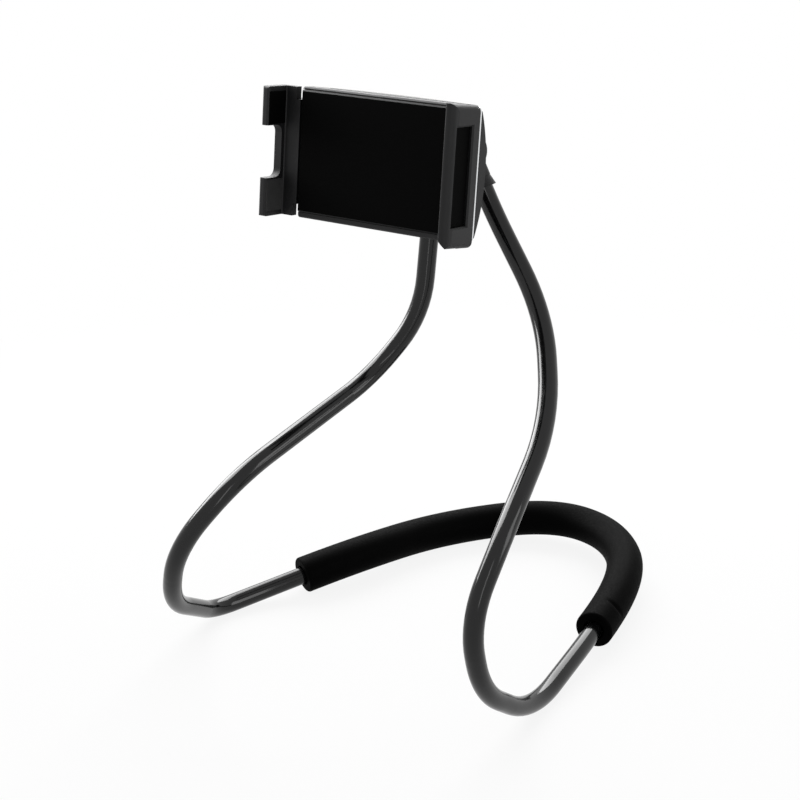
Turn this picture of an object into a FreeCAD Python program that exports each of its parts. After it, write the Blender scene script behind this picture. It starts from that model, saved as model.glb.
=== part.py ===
import FreeCAD, Part
import math
import os

# A neck phone holder: a bendable rod forms a padded neck loop and two arms, and
# the arms carry a sprung phone clamp on a ball joint. It stands here on a table,
# with the clamp facing -Y. The origin is on the table, in the middle of the
# footprint. All sizes are millimetres.

os.makedirs("parts", exist_ok=True)
Vector = FreeCAD.Vector
ORIGIN = Vector(0, 0, 0)
X_AXIS = Vector(1, 0, 0)
Y_AXIS = Vector(0, 1, 0)
Z_AXIS = Vector(0, 0, 1)

# Bendable rod and neck pad
rod_diameter = 6.5
core_diameter = 4.0
pad_diameter = 13.8
core_clearance = 0.05
pad_clearance = 0.05
bend_share = 0.45
short_bend = 8.0
right_elbow_dip = 1.57
left_elbow_dip = 0.68
pad_dip = 0.67
pad_lift = 3.1
pad_back_lift = 2.1
pad_start_share = 0.18
pad_end_share = 0.53

# How far the rod's main bends lie from the origin
right_elbow_out = 65.0
right_elbow_front = 83.0
right_elbow_height = 52.0
left_elbow_out = 68.0
left_elbow_front = 91.0
left_elbow_height = 51.0
elbow_rise = 24.0
loop_right = 53.0
loop_left = 44.0
loop_back = 87.1

# Hub that joins the two arms
hub_x = 7.0
hub_y = 4.0
arms_meet_z = 177.0
arm_spread = 28.0
rod_end_distance = 7.5
sleeve_length = 13.4
collar_length = 3.4
arm_straight = 26.5
sleeve_wall = 0.6
collar_flare = 1.2
collar_gap = 0.1
socket_clearance = 0.05
drum_radius = 7.0
drum_front = 8.2
drum_back = 4.7
drum_edge = 1.6
web_thickness = 8.0
web_low = 13.1
web_high = 8.0
hub_screw_drop = 10.9

# Ball joint
ball_diameter = 15.0
stud_diameter = 5.5
flange_diameter = 9.2
flange_thickness = 2.4
flange_wall = 1.9
flange_clearance = 0.3
ball_clearance = 0.08
stud_clearance = 0.08
ball_reach = 20.6
ball_drop = 3.2
boss_radius = 9.6
boss_reach = 1.6
collet_slot = 1.0
collet_slot_depth = 5.4
nut_radius = 12.5
nut_front = 6.4
nut_back = 6.8
nut_step = 2.2
nut_mouth_radius = 4.6
nut_clearance = 0.08
nut_flutes = 14
flute_radius = 1.3
nut_edge = 0.7

# Clamp body
rest_tilt = 6.0
face_reach = 21.5
body_width = 65.4
body_height = 42.5
socket_offset = 4.6
body_corner = 2.2
body_left_corner = 0.8
frame_depth = 4.3
frame_setback = 0.8
frame_top_rim = 0.75
frame_low_rim = 1.75
frame_bevel = 0.45
jaw_side_rim = 3.0
frame_window_width = 52.0
frame_window_height = 32.0
window_corner = 3.0
dome_depth = 9.5
dome_end_drop = 4.9
dome_side_drop = 4.2
dome_sweep = 60.0
shell_wall = 1.6
trim_thickness = 1.0
trim_width = 0.9
trim_setback = 0.1
trim_clearance = 0.05

# Face plate and pad
plate_clearance = 0.15
plate_back = 2.2
plate_setback = 0.2
plate_bevel = 0.5
plate_corner = 1.4
plate_left_corner = 0.6
face_pad_thickness = 0.9
face_pad_clearance = 0.1

# Fixed jaw
lip_reach = 10.5
lip_thickness = 1.9
lip_width = 3.55
jaw_wall = 1.6
jaw_round = 2.9
lip_round = 0.5
lip_corner = 2.8
jaw_lean = 4.0
jaw_top_overhang = 0.7
jaw_low_overhang = 0.9
slot_height = 30.6
slot_front = 8.3
slot_back = 0.6
slot_bevel = 0.5
slot_bevel_land = 0.02
jaw_pad_thickness = 0.8
jaw_pad_margin = 1.2
jaw_pad_plug = 0.4
slot_clearance = 0.15

# Sliding jaw
finger_gap = 6.0
finger_thickness = 2.8
finger_reach = 8.9
finger_height = 12.5
finger_round = 0.9
notch_floor = 1.4
notch_round = 2.6
jaw_end_setback = 0.25
base_front = 0.3
base_thickness = 2.5
base_gap = 0.25
base_cove = 0.5
shoulder_height = 34.0
stem_height = 25.0
stem_length = 7.8
corner_notch = 1.6
tongue_thickness = 2.2
tongue_height = 20.0
tongue_end = 6.5
tongue_clearance = 0.3
finger_pad_thickness = 1.0
finger_pad_proud = 0.3
finger_pad_margin = 1.6
finger_pad_edge = 0.45
finger_pad_clearance = 0.05

# Springs, screws and charging parts inside the clamp
spring_radius = 1.6
spring_bore = 1.0
spring_height = 6.0
spring_anchor = 7.0
post_radius = 0.9
post_clearance = 0.15
screw_radius = 1.0
screw_head_radius = 1.9
screw_head_height = 1.3
screw_clearance = 0.12
screw_bite_clearance = 0.05
screw_bite = 1.8
screw_tip_wall = 0.9
screw_slot_width = 0.5
column_wall = 1.3
coil_margin = 1.5
coil_bore = 8.0
coil_thickness = 1.1
ferrite_overhang = 0.7
ferrite_thickness = 0.5
board_width = 12.0
board_inset = 4.3
board_height = 5.4
board_thickness = 0.8
board_gap = 0.76
usb_width = 8.9
usb_height = 3.2
usb_depth = 7.2
usb_wall = 0.4
usb_tongue = 0.8
usb_setback = 0.3
usb_clearance = 0.15

# Sizes that follow from the ones above
rod_radius = rod_diameter / 2
core_radius = core_diameter / 2
pad_radius = pad_diameter / 2
ball_radius = ball_diameter / 2
stud_radius = stud_diameter / 2
flange_radius = flange_diameter / 2
socket_radius = rod_radius + socket_clearance
sleeve_radius = socket_radius + sleeve_wall
column_radius = screw_radius + screw_clearance + column_wall
arms_meet = Vector(hub_x, hub_y, arms_meet_z)
stud_z = arms_meet_z - ball_drop
ball_centre = Vector(hub_x, hub_y - ball_reach, stud_z)
right_arm = Vector(math.sin(math.radians(arm_spread)), 0, -math.cos(math.radians(arm_spread)))
left_arm = Vector(-right_arm.x, 0, right_arm.z)

# The clamp is drawn about the ball's centre, facing -Y, and tilted back at the end
face_y = -face_reach
seam_y = face_y + frame_depth
rim_y = face_y + frame_setback
shell_y = seam_y + trim_thickness
crown_y = seam_y + dome_depth
body_mid = -socket_offset
body_left = body_mid - body_width / 2
body_right = body_mid + body_width / 2
half_height = body_height / 2
pocket_right = body_right - jaw_side_rim
pocket_low = frame_low_rim - half_height
pocket_high = half_height - frame_top_rim
half_jaw = half_height - jaw_end_setback
coil_radius = frame_window_height / 2 - coil_margin
ferrite_radius = coil_radius + ferrite_overhang
column_out = body_width / 2 - stem_length - tongue_clearance - column_radius
usb_x = column_out - column_radius - board_gap - board_width / 2

# How far cutting blocks reach past a surface
past = 1.0


def box(low, high):
    """A block between two corners."""
    return Part.makeBox(high[0] - low[0], high[1] - low[1], high[2] - low[2], Vector(*low))


def bar(radius, start, end):
    """A round bar between two points."""
    return Part.makeCylinder(radius, (end - start).Length, start, end - start)


def along_y(radius, x, z, front, back):
    """A round bar along Y."""
    return bar(radius, Vector(x, front, z), Vector(x, back, z))


def rounded_outline(left, right, low, high, left_corner, right_corner, y):
    """A rectangle with rounded corners, upright at one depth."""
    edges = []
    centres = [(right, high, -1, -1), (left, high, 1, -1), (left, low, 1, 1), (right, low, -1, 1)]
    ends = []
    for x, z, to_x, to_z in centres:
        corner = left_corner if x == left else right_corner
        turn = corner * (1 - math.sqrt(0.5))
        on_side = Vector(x, y, z + to_z * corner)
        on_end = Vector(x + to_x * corner, y, z)
        middle = Vector(x + to_x * turn, y, z + to_z * turn)
        first, last = (on_side, on_end) if to_x == to_z else (on_end, on_side)
        ends.append((first, last))
        edges.append(Part.Arc(first, middle, last).toShape())
    for index in range(len(ends)):
        start = ends[index][1]
        end = ends[(index + 1) % len(ends)][0]
        edges.append(Part.LineSegment(start, end).toShape())
    return Part.Wire(Part.__sortEdges__(edges))


def plate(left, right, low, high, corner, front, back, left_corner=None):
    """An upright plate with rounded corners, between two depths."""
    face = Part.Face(rounded_outline(left, right, low, high, left_corner or corner, corner, front))
    return face.extrude(Vector(0, back - front, 0))


def bevelled(solid, y, size):
    """The solid with the outer edges of its flat side at one depth bevelled."""
    edges = [e for e in solid.Edges if e.BoundBox.YLength < 1e-6 and abs(e.BoundBox.YMin - y) < 1e-6]
    return solid.makeChamfer(size, edges)


def polygon(points):
    """A flat face through the points."""
    return Part.Face(Part.makePolygon(list(points) + [points[0]]))


def joined(first, *others):
    """Solids made one, with no leftover edges."""
    return first.fuse(list(others)).removeSplitter()


def export(name, shape):
    """Write one piece to its own file."""
    if not shape.isValid():
        raise ValueError(name + " isn't a valid solid")
    shape.exportStep("parts/" + name + ".step")


# Rod and neck pad

def route_points():
    """The corners of the rod's route: down the right arm, round the neck loop and up the left arm."""
    # a bend cuts its corner, so the corners by the table dip below the rod's own lowest line
    right = [
        arms_meet + right_arm * rod_end_distance,
        arms_meet + right_arm * arm_straight,
        Vector(43, -2, 124),
        Vector(61, -29, 99),
        Vector(68, -68, 77),
        # the elbow, round to the table
        Vector(right_elbow_out, -right_elbow_front, right_elbow_height),
        Vector(right_elbow_out, -75, elbow_rise),
        Vector(right_elbow_out, -43, rod_radius - right_elbow_dip),
        Vector(60.8, 2, 6.4),
    ]
    loop = [
        Vector(loop_right, 51, pad_radius + pad_lift),
        Vector(30.5, 82.2, pad_radius + pad_lift),
        Vector(-1, loop_back, pad_radius + pad_back_lift),
        Vector(-33, 57.5, pad_radius - pad_dip),
        Vector(-loop_left, 6, pad_radius + pad_lift),
    ]
    left = [
        # the elbow, up from the table
        Vector(-60.7, -26.6, 4.3),
        Vector(-left_elbow_out, -46, rod_radius - left_elbow_dip),
        Vector(-56, -82, elbow_rise),
        Vector(-44, -left_elbow_front, left_elbow_height),
        Vector(-29, -76, 75),
        Vector(-19, -13, 94),
        Vector(-6, -1, 116),
        arms_meet + left_arm * arm_straight,
        arms_meet + left_arm * rod_end_distance,
    ]
    return right, loop, left


def bend_cuts(points):
    """How far from each inner point its bend begins."""
    runs = [(b - a).Length for a, b in zip(points, points[1:])]
    return [bend_share * min(before, after) for before, after in zip(runs, runs[1:])]


def bent_path(points, cuts):
    """Straight runs joined by tangent arcs."""
    edges = []
    start = points[0]
    for before, corner, after, cut in zip(points, points[1:], points[2:], cuts):
        back = (before - corner).normalize()
        ahead = (after - corner).normalize()
        bisector = (back + ahead).normalize()
        half_angle = back.getAngle(ahead) / 2
        radius = cut * math.tan(half_angle)
        into = corner + back * cut
        out = corner + ahead * cut
        middle = corner + bisector * (cut / math.cos(half_angle) - radius)
        edges.append(Part.LineSegment(start, into).toShape())
        edges.append(Part.Arc(into, middle, out).toShape())
        start = out
    edges.append(Part.LineSegment(start, points[-1]).toShape())
    return Part.Wire(edges)


def swept(path, points, radius):
    """A round bar along a path."""
    circle = Part.makeCircle(radius, points[0], points[1] - points[0])
    section = Part.Face(Part.Wire(circle))
    solid = path.makePipe(section)
    expected = section.Area * path.Length
    if abs(solid.Volume - expected) > 0.01 * expected:
        raise ValueError("the sweep's volume is off")
    return solid


def make_rod():
    right, loop, left = route_points()
    points = right + loop + left
    cuts = bend_cuts(points)
    # the pad starts and ends on straight runs, so the bend just before it is a short one
    first = len(right) - 1
    last = first + len(loop)
    cuts[first - 1] = short_bend
    path = bent_path(points, cuts)
    export("core_wire", swept(path, points, core_radius))
    jacket = swept(path, points, rod_radius)
    export("rod_jacket", jacket.cut(swept(path, points, core_radius + core_clearance)))
    start = points[first] + (points[first + 1] - points[first]) * pad_start_share
    end = points[last] + (points[last + 1] - points[last]) * pad_end_share
    pad_points = [start] + loop + [end]
    pad_path = bent_path(pad_points, cuts[first:last])
    pad = swept(pad_path, pad_points, pad_radius)
    export("neck_pad", pad.cut(swept(pad_path, pad_points, rod_radius + pad_clearance)))
    print("rod length", round(path.Length, 1), "pad length", round(pad_path.Length, 1))


# Hub

def round_y_edges(solid, size, radius):
    """Round the circular edges of that radius that lie square to Y."""
    edges = []
    for edge in solid.Edges:
        circle = isinstance(edge.Curve, Part.Circle)
        if circle and abs(edge.Curve.Radius - radius) < 1e-6 and edge.BoundBox.YLength < 1e-6:
            edges.append(edge)
    return solid.makeFillet(size, edges)


def screw(head, tip):
    """A pan-head screw along Y, with a slot in its head."""
    side = 1 if tip.y > head.y else -1
    under = Vector(head.x, head.y + side * screw_head_height, head.z)
    solid = joined(bar(screw_head_radius, head, under), bar(screw_radius, under, tip))
    slot_depth = screw_head_height / 2
    low_y = min(head.y, head.y + side * slot_depth)
    high_y = max(head.y, head.y + side * slot_depth)
    slot = box((head.x - screw_head_radius, low_y, head.z - screw_slot_width / 2),
               (head.x + screw_head_radius, high_y, head.z + screw_slot_width / 2))
    return solid.cut(slot)


def make_hub():
    drum_y0 = hub_y - drum_front
    drum_y1 = hub_y + drum_back
    drum = round_y_edges(along_y(drum_radius, hub_x, stud_z, drum_y0, drum_y1), drum_edge, drum_radius)
    sleeves = []
    channels = []
    collars = []
    for arm in (right_arm, left_arm):
        mouth = arms_meet + arm * sleeve_length
        sleeves.append(bar(sleeve_radius, arms_meet, mouth))
        channels.append(bar(socket_radius, arms_meet + arm * rod_end_distance, mouth + arm * collar_length))
        # a flared collar on the rod, against the mouth of its sleeve
        collar = Part.makeCone(sleeve_radius - collar_gap, socket_radius + collar_flare, collar_length,
                               mouth + arm * collar_gap, arm)
        collars.append(collar.cut(bar(socket_radius, mouth, mouth + arm * 2 * collar_length)))
    # a web between the arms, narrower at its foot so that it stays clear of the rods
    spread = math.tan(math.radians(arm_spread))
    web_front = hub_y - web_thickness / 2
    foot = web_low * spread - rod_radius
    head = web_high * spread
    web_points = [
        Vector(hub_x + foot, web_front, arms_meet_z - web_low),
        Vector(hub_x - foot, web_front, arms_meet_z - web_low),
        Vector(hub_x - head, web_front, arms_meet_z - web_high),
        Vector(hub_x + head, web_front, arms_meet_z - web_high),
    ]
    web = polygon(web_points).extrude(Vector(0, web_thickness, 0))
    hub = joined(drum, web, *sleeves)
    # room for the stud's flange and neck, the rod ends and the screw
    pocket_y0 = drum_y0 + flange_wall
    pocket_y1 = pocket_y0 + flange_thickness + flange_clearance
    hub = hub.cut(channels)
    hub = hub.cut(along_y(flange_radius + flange_clearance, hub_x, stud_z, pocket_y0, pocket_y1))
    hub = hub.cut(along_y(stud_radius + stud_clearance, hub_x, stud_z, drum_y0, pocket_y0))
    screw_z = arms_meet_z - hub_screw_drop
    head_y = hub_y + web_thickness / 2
    under_y = head_y - screw_head_height
    tip_y = hub_y - web_thickness / 2 + screw_tip_wall
    hub = hub.cut(along_y(screw_head_radius + screw_clearance, hub_x, screw_z, under_y, drum_y1))
    bite_radius = screw_radius + screw_bite_clearance
    hub = hub.cut(along_y(bite_radius, hub_x, screw_z, tip_y - screw_clearance, under_y))
    reach = 2 * arm_straight
    front_half = box((hub_x - reach, hub_y - reach, stud_z - reach), (hub_x + reach, hub_y, stud_z + reach))
    back_half = box((hub_x - reach, hub_y, stud_z - reach), (hub_x + reach, hub_y + reach, stud_z + reach))
    export("hub_front", hub.common(front_half))
    export("hub_back", hub.common(back_half))
    export("arm_collars", Part.makeCompound(collars))
    export("hub_screw", screw(Vector(hub_x, head_y, screw_z), Vector(hub_x, tip_y, screw_z)))
    return pocket_y0


# Ball joint

def make_ball_stud(pocket_y0):
    flange_y0 = pocket_y0 + flange_clearance / 2
    flange_y1 = flange_y0 + flange_thickness
    ball = Part.makeSphere(ball_radius, ball_centre)
    neck = bar(stud_radius, ball_centre, Vector(hub_x, flange_y0, stud_z))
    flange = along_y(flange_radius, hub_x, stud_z, flange_y0, flange_y1)
    export("ball_stud", joined(ball, neck, flange))


def seated(shape):
    """Tilt a clamp piece back about the ball's centre and set it there."""
    placed = shape.copy()
    placed.rotate(ORIGIN, X_AXIS, -rest_tilt)
    placed.translate(ball_centre)
    return placed


def make_lock_nut():
    seat_radius = ball_radius + ball_clearance
    nut = along_y(nut_radius, 0, 0, -nut_front, nut_back)
    nut = bevelled(bevelled(nut, -nut_front, nut_edge), nut_back, nut_edge)
    flute_circle = nut_radius + flute_radius / 2
    for index in range(nut_flutes):
        angle = 2 * math.pi * index / nut_flutes
        x = flute_circle * math.cos(angle)
        z = flute_circle * math.sin(angle)
        nut = nut.cut(along_y(flute_radius, x, z, -nut_front, nut_back))
    nut = nut.cut(along_y(boss_radius + nut_clearance, 0, 0, -nut_front, nut_step))
    nut = nut.cut(Part.makeSphere(seat_radius, ORIGIN))
    mouth_y = math.sqrt(seat_radius ** 2 - nut_mouth_radius ** 2)
    flare = nut_back - mouth_y
    mouth = Vector(0, mouth_y, 0)
    nut = nut.cut(Part.makeCone(nut_mouth_radius, nut_mouth_radius + flare, flare, mouth, Y_AXIS))
    export("lock_nut", seated(nut))


# Clamp body

def arc_radius(half_span, drop):
    """The radius of an arc that falls by a drop over half its span."""
    return (half_span ** 2 + drop ** 2) / (2 * drop)


def dome(inset, front):
    """The pillow-shaped back of the clamp, drawn in by a wall."""
    left = body_left + inset
    right = body_right - inset
    high = half_height - inset
    corner = max(body_corner - inset, body_corner / 4)
    left_corner = max(body_left_corner - inset, body_left_corner / 4)
    block = plate(left, right, -high, high, corner, front, crown_y, left_corner)
    # an upright arc turned about a far upright axis gives both crowns in one surface
    end_radius = arc_radius(half_height, dome_end_drop) - inset
    side_radius = arc_radius(body_width / 2, dome_side_drop) - inset
    axis = Vector(body_mid, crown_y - inset - side_radius, 0)
    fall = end_radius - math.sqrt(end_radius ** 2 - high ** 2)
    low = Vector(body_mid, crown_y - inset - fall, -high)
    top = Vector(body_mid, crown_y - inset, 0)
    up = Vector(low.x, low.y, high)
    edges = [
        Part.Arc(low, top, up).toShape(),
        Part.LineSegment(up, Vector(axis.x, axis.y, high)).toShape(),
        Part.LineSegment(Vector(axis.x, axis.y, high), Vector(axis.x, axis.y, -high)).toShape(),
        Part.LineSegment(Vector(axis.x, axis.y, -high), low).toShape(),
    ]
    profile = Part.Face(Part.Wire(edges))
    profile.rotate(axis, Z_AXIS, -dome_sweep / 2)
    return block.common(profile.revolve(axis, Z_AXIS, dome_sweep))


def column_places():
    """The four housing screws, about the middle of the body."""
    # each column joins half the fence beside the tongue
    up = tongue_height / 2 + tongue_clearance + shell_wall / 2 + column_radius
    return [(body_mid + side * column_out, end * up) for side in (-1, 1) for end in (-1, 1)]


def tongue_span():
    """The front and back of the sliding jaw's tongue."""
    front = seam_y + tongue_clearance
    return front, front + tongue_thickness


def usb_room():
    """The charging socket's place: its back lies on the board."""
    back = seam_y + usb_height / 2 + tongue_clearance
    front = back - usb_height
    bottom = -half_height + usb_setback
    left = body_mid + usb_x - usb_width / 2
    return (left, front, bottom), (left + usb_width, back, bottom + usb_depth)


def usb_cut():
    """The opening that the shells leave round the charging socket."""
    low, high = usb_room()
    gap = usb_clearance
    below = -half_height - past
    return box((low[0] - gap, low[1] - gap, below), (high[0] + gap, high[1] + gap, high[2] + gap))


def spring_places():
    """Where each spring starts on the tongue and ends on its post."""
    front, back = tongue_span()
    middle = (front + back) / 2
    tail = body_mid + tongue_end
    post = body_right - spring_anchor
    return [(Vector(tail, middle, z), Vector(post, middle, z)) for z in (-spring_height, spring_height)]


def tongue_door():
    """The opening in the body's left side that the tongue slides through."""
    door = stem_height / 2 + tongue_clearance
    back = tongue_span()[1] + tongue_clearance
    return box((body_left - shell_wall, seam_y, -door), (body_left + 2 * shell_wall, back, door))


def board_span():
    """The low and high edge of the circuit board."""
    low = -half_height + board_inset
    return low, low + board_height


def trim_strip(proud, gap):
    """The seam strip, along the top, down the fixed jaw's side and back to the charging socket."""
    back = shell_y + gap
    high = half_height + proud
    outer = plate(body_left - proud, body_right + proud, -high, high, body_corner, seam_y, back)
    inner = trim_setback + trim_width + gap
    inner_high = half_height - inner
    strip = outer.cut(plate(body_left + inner, body_right - inner, -inner_high, inner_high,
                            body_corner - trim_width, seam_y, back))
    stop = column_places()[0][0] - column_radius - gap
    socket = usb_room()[1][0] + usb_clearance - gap
    reach = body_width
    strip = strip.cut(box((stop - reach, seam_y, -reach), (stop, crown_y, reach)))
    return strip.cut(box((socket - reach, seam_y, -reach), (socket, crown_y, 0)))


def make_seam_trim():
    export("seam_trim", seated(trim_strip(-trim_setback, 0)))


def make_rear_housing():
    outer = dome(0, seam_y)
    cavity = dome(shell_wall, seam_y)
    # columns and rails end half way into the wall
    rooted = dome(shell_wall / 2, seam_y)
    back = tongue_span()[1]
    columns = []
    holes = []
    for x, z in column_places():
        columns.append(along_y(column_radius, x, z, seam_y, crown_y).common(rooted))
        head_floor = screw_head_floor(x, z)
        holes.append(along_y(screw_radius + screw_clearance, x, z, seam_y, crown_y))
        holes.append(along_y(screw_head_radius + screw_clearance, x, z, head_floor, crown_y))
    rails = []
    for side in (-1, 1):
        # a rail behind the tongue and a fence beside it
        inner = tongue_height / 2 - shell_wall
        outer_z = tongue_height / 2 + tongue_clearance
        left = body_left + stem_length + tongue_clearance
        right = body_mid + tongue_end
        for low, high, start in ((inner, inner + shell_wall, back + tongue_clearance),
                                 (outer_z, outer_z + shell_wall, seam_y)):
            z0, z1 = sorted((side * low, side * high))
            rails.append(box((left, start, z0), (right, crown_y, z1)).common(rooted))
    for _, post in spring_places():
        rails.append(along_y(post_radius, post.x, post.z, seam_y, crown_y).common(rooted))
    board_back = usb_room()[1][1] + board_thickness
    for side in (-1, 1):
        x = body_mid + usb_x + side * (board_width / 2 - shell_wall)
        low, high = board_span()
        rest = box((x - shell_wall / 2, board_back, low), (x + shell_wall / 2, crown_y, high))
        rails.append(rest.common(rooted))
    boss = along_y(boss_radius, 0, 0, crown_y - shell_wall, boss_reach)
    shell = joined(outer.cut(cavity), boss, *(columns + rails))
    shell = shell.cut(holes)
    shell = shell.cut(Part.makeSphere(ball_radius + ball_clearance, ORIGIN))
    for slot in (box((-boss_radius, boss_reach - collet_slot_depth, -collet_slot / 2),
                     (boss_radius, boss_reach, collet_slot / 2)),
                 box((-collet_slot / 2, boss_reach - collet_slot_depth, -boss_radius),
                     (collet_slot / 2, boss_reach, boss_radius))):
        shell = shell.cut(slot)
    shell = shell.cut([tongue_door(), usb_cut(), trim_strip(trim_width, trim_clearance)])
    export("rear_housing", seated(shell))


def screw_head_floor(x, z):
    """The depth under a housing screw's head, below the dome's surface there."""
    probe = along_y(screw_head_radius + screw_clearance, x, z, seam_y, crown_y).common(dome(0, seam_y))
    low_corner = min(v.Y for v in probe.Vertexes if v.Y > seam_y + shell_wall / 2)
    return low_corner - screw_head_height


def make_housing_screws():
    screws = []
    for x, z in column_places():
        floor = screw_head_floor(x, z)
        tip = seam_y - screw_bite
        screws.append(screw(Vector(x, floor + screw_head_height, z), Vector(x, tip, z)))
    export("housing_screws", seated(Part.makeCompound(screws)))


def fixed_jaw():
    """The fixed jaw: a hooked section run up the right side of the body."""
    outside = body_right
    inside = body_right - jaw_wall
    tip = body_right - lip_width
    lip_y = face_y - lip_reach
    under_lip = lip_y + lip_thickness
    root = rim_y + frame_bevel
    turn = 1 - math.sqrt(0.5)
    z = -body_height
    points = {
        "side_back": Vector(outside, seam_y, z),
        "side_front": Vector(outside, lip_y + jaw_round, z),
        "round_middle": Vector(outside - jaw_round * turn, lip_y + jaw_round * turn, z),
        "lip_right": Vector(outside - jaw_round, lip_y, z),
        "lip_left": Vector(tip + lip_round, lip_y, z),
        "tip_middle": Vector(tip + lip_round * turn, lip_y + lip_round * turn, z),
        "tip_front": Vector(tip, lip_y + lip_round, z),
        "tip_back": Vector(tip, under_lip, z),
        "wall_front": Vector(inside, under_lip, z),
        "wall_root": Vector(inside, root, z),
        "floor_left": Vector(outside - jaw_side_rim, root, z),
        "floor_back": Vector(outside - jaw_side_rim, seam_y, z),
    }
    names = ["tip_front", "tip_back", "wall_front", "wall_root", "floor_left", "floor_back"]
    names += ["side_back", "side_front"]
    edges = [Part.LineSegment(points[a], points[b]).toShape() for a, b in zip(names, names[1:])]
    edges.append(Part.Arc(points["side_front"], points["round_middle"], points["lip_right"]).toShape())
    edges.append(Part.LineSegment(points["lip_right"], points["lip_left"]).toShape())
    edges.append(Part.Arc(points["lip_left"], points["tip_middle"], points["tip_front"]).toShape())
    jaw = Part.Face(Part.Wire(edges)).extrude(Vector(0, 0, 2 * body_height))
    # its ends stand past the body and lean up towards the front
    high = half_height + jaw_top_overhang
    low = -half_height - jaw_low_overhang
    ends = plate(body_left, body_right, low, high, body_corner, lip_y - lip_reach, seam_y + lip_reach)
    # the lip's free corners: rounded at the top, cut off at the bottom
    front = lip_y - past
    corner_x = tip + lip_corner
    corner_z = high - lip_corner
    top_corner = box((tip - past, front, corner_z), (corner_x, face_y - past, high + past))
    top_corner = top_corner.cut(along_y(lip_corner, corner_x, corner_z, front - past, face_y))
    low_corner = polygon([
        Vector(tip - past, front, low - past),
        Vector(corner_x, front, low - past),
        Vector(corner_x, front, low),
        Vector(tip - past, front, low + lip_corner + past),
    ])
    low_corner = low_corner.extrude(Vector(0, lip_reach, 0))
    middle = Vector(0, (lip_y + seam_y) / 2, 0)
    for shape in (ends, top_corner, low_corner):
        shape.rotate(middle, X_AXIS, -jaw_lean)
    return jaw.common(ends).cut([top_corner, low_corner])


def jaw_slot():
    """The window through the fixed jaw's side, with a bevelled rim."""
    half_slot = slot_height / 2
    front = face_y - slot_front
    back = face_y + slot_back
    hole = box((body_right - jaw_wall, front, -half_slot), (body_right + past, back, half_slot))
    rim_x = body_right - slot_bevel
    rim = box((rim_x, front - slot_bevel, -half_slot - slot_bevel),
              (body_right + past, back + slot_bevel, half_slot + slot_bevel))
    edges = [e for e in rim.Edges if e.BoundBox.XMax < rim_x + slot_bevel / 2]
    return hole.fuse(rim.makeChamfer(slot_bevel - slot_bevel_land, edges))


def make_front_frame():
    frame = plate(body_left, body_right, -half_height, half_height, body_corner, rim_y, seam_y,
                  body_left_corner)
    frame = bevelled(frame, rim_y, frame_bevel)
    floor_y = face_y + plate_back
    # the pocket for the face plate is open at the sliding jaw's side
    frame = frame.cut(plate(body_left - plate_corner, pocket_right, pocket_low, pocket_high, plate_corner,
                            rim_y, floor_y))
    half_window = frame_window_width / 2
    frame = frame.cut(plate(body_mid - half_window, body_mid + half_window, -frame_window_height / 2,
                            frame_window_height / 2, window_corner, floor_y, seam_y))
    frame = joined(frame, fixed_jaw())
    frame = frame.cut(jaw_slot())
    ears = []
    for x, z in column_places():
        edge = pocket_high if z > 0 else pocket_low
        z0, z1 = sorted((z - math.copysign(column_radius, z), edge))
        ears.append(box((x - column_radius, floor_y, z0), (x + column_radius, seam_y, z1)))
    frame = joined(frame, *ears)
    bite_radius = screw_radius + screw_bite_clearance
    for x, z in column_places():
        frame = frame.cut(along_y(bite_radius, x, z, seam_y - screw_bite - screw_clearance, seam_y))
    frame = frame.cut(usb_cut())
    export("front_frame", seated(frame))


def make_face():
    gap = plate_clearance
    left = body_left + gap
    right = pocket_right - gap
    low = pocket_low + gap
    high = pocket_high - gap
    front = face_y + plate_setback
    face = plate(left, right, low, high, plate_corner, front, face_y + plate_back, plate_left_corner)
    face = bevelled(face, front, plate_bevel)
    pad_back = face_y + face_pad_thickness
    edge = plate_bevel
    face = face.cut(plate(left + edge, right - edge, low + edge, high - edge, plate_corner, front, pad_back,
                          plate_left_corner))
    export("face_plate", seated(face))
    edge = plate_bevel + face_pad_clearance
    pad = plate(left + edge, right - edge, low + edge, high - edge, plate_corner, face_y, pad_back,
                plate_left_corner)
    export("face_pad", seated(pad))


def make_fixed_jaw_pad():
    inside = body_right - jaw_wall
    half_slot = slot_height / 2
    under_lip = face_y - lip_reach + lip_thickness
    sheet = box((inside - jaw_pad_thickness, under_lip + slot_clearance, -half_slot - jaw_pad_margin),
                (inside, rim_y - slot_clearance, half_slot + jaw_pad_margin))
    plug = box((inside, face_y - slot_front + slot_clearance, slot_clearance - half_slot),
               (inside + jaw_pad_plug, face_y + slot_back - slot_clearance, half_slot - slot_clearance))
    export("fixed_jaw_pad", seated(joined(sheet, plug)))


# Sliding jaw

def finger_faces():
    """The fingers' inner and outer sides, with the clamp closed."""
    inner = body_left - finger_gap
    return inner, inner - finger_thickness


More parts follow.
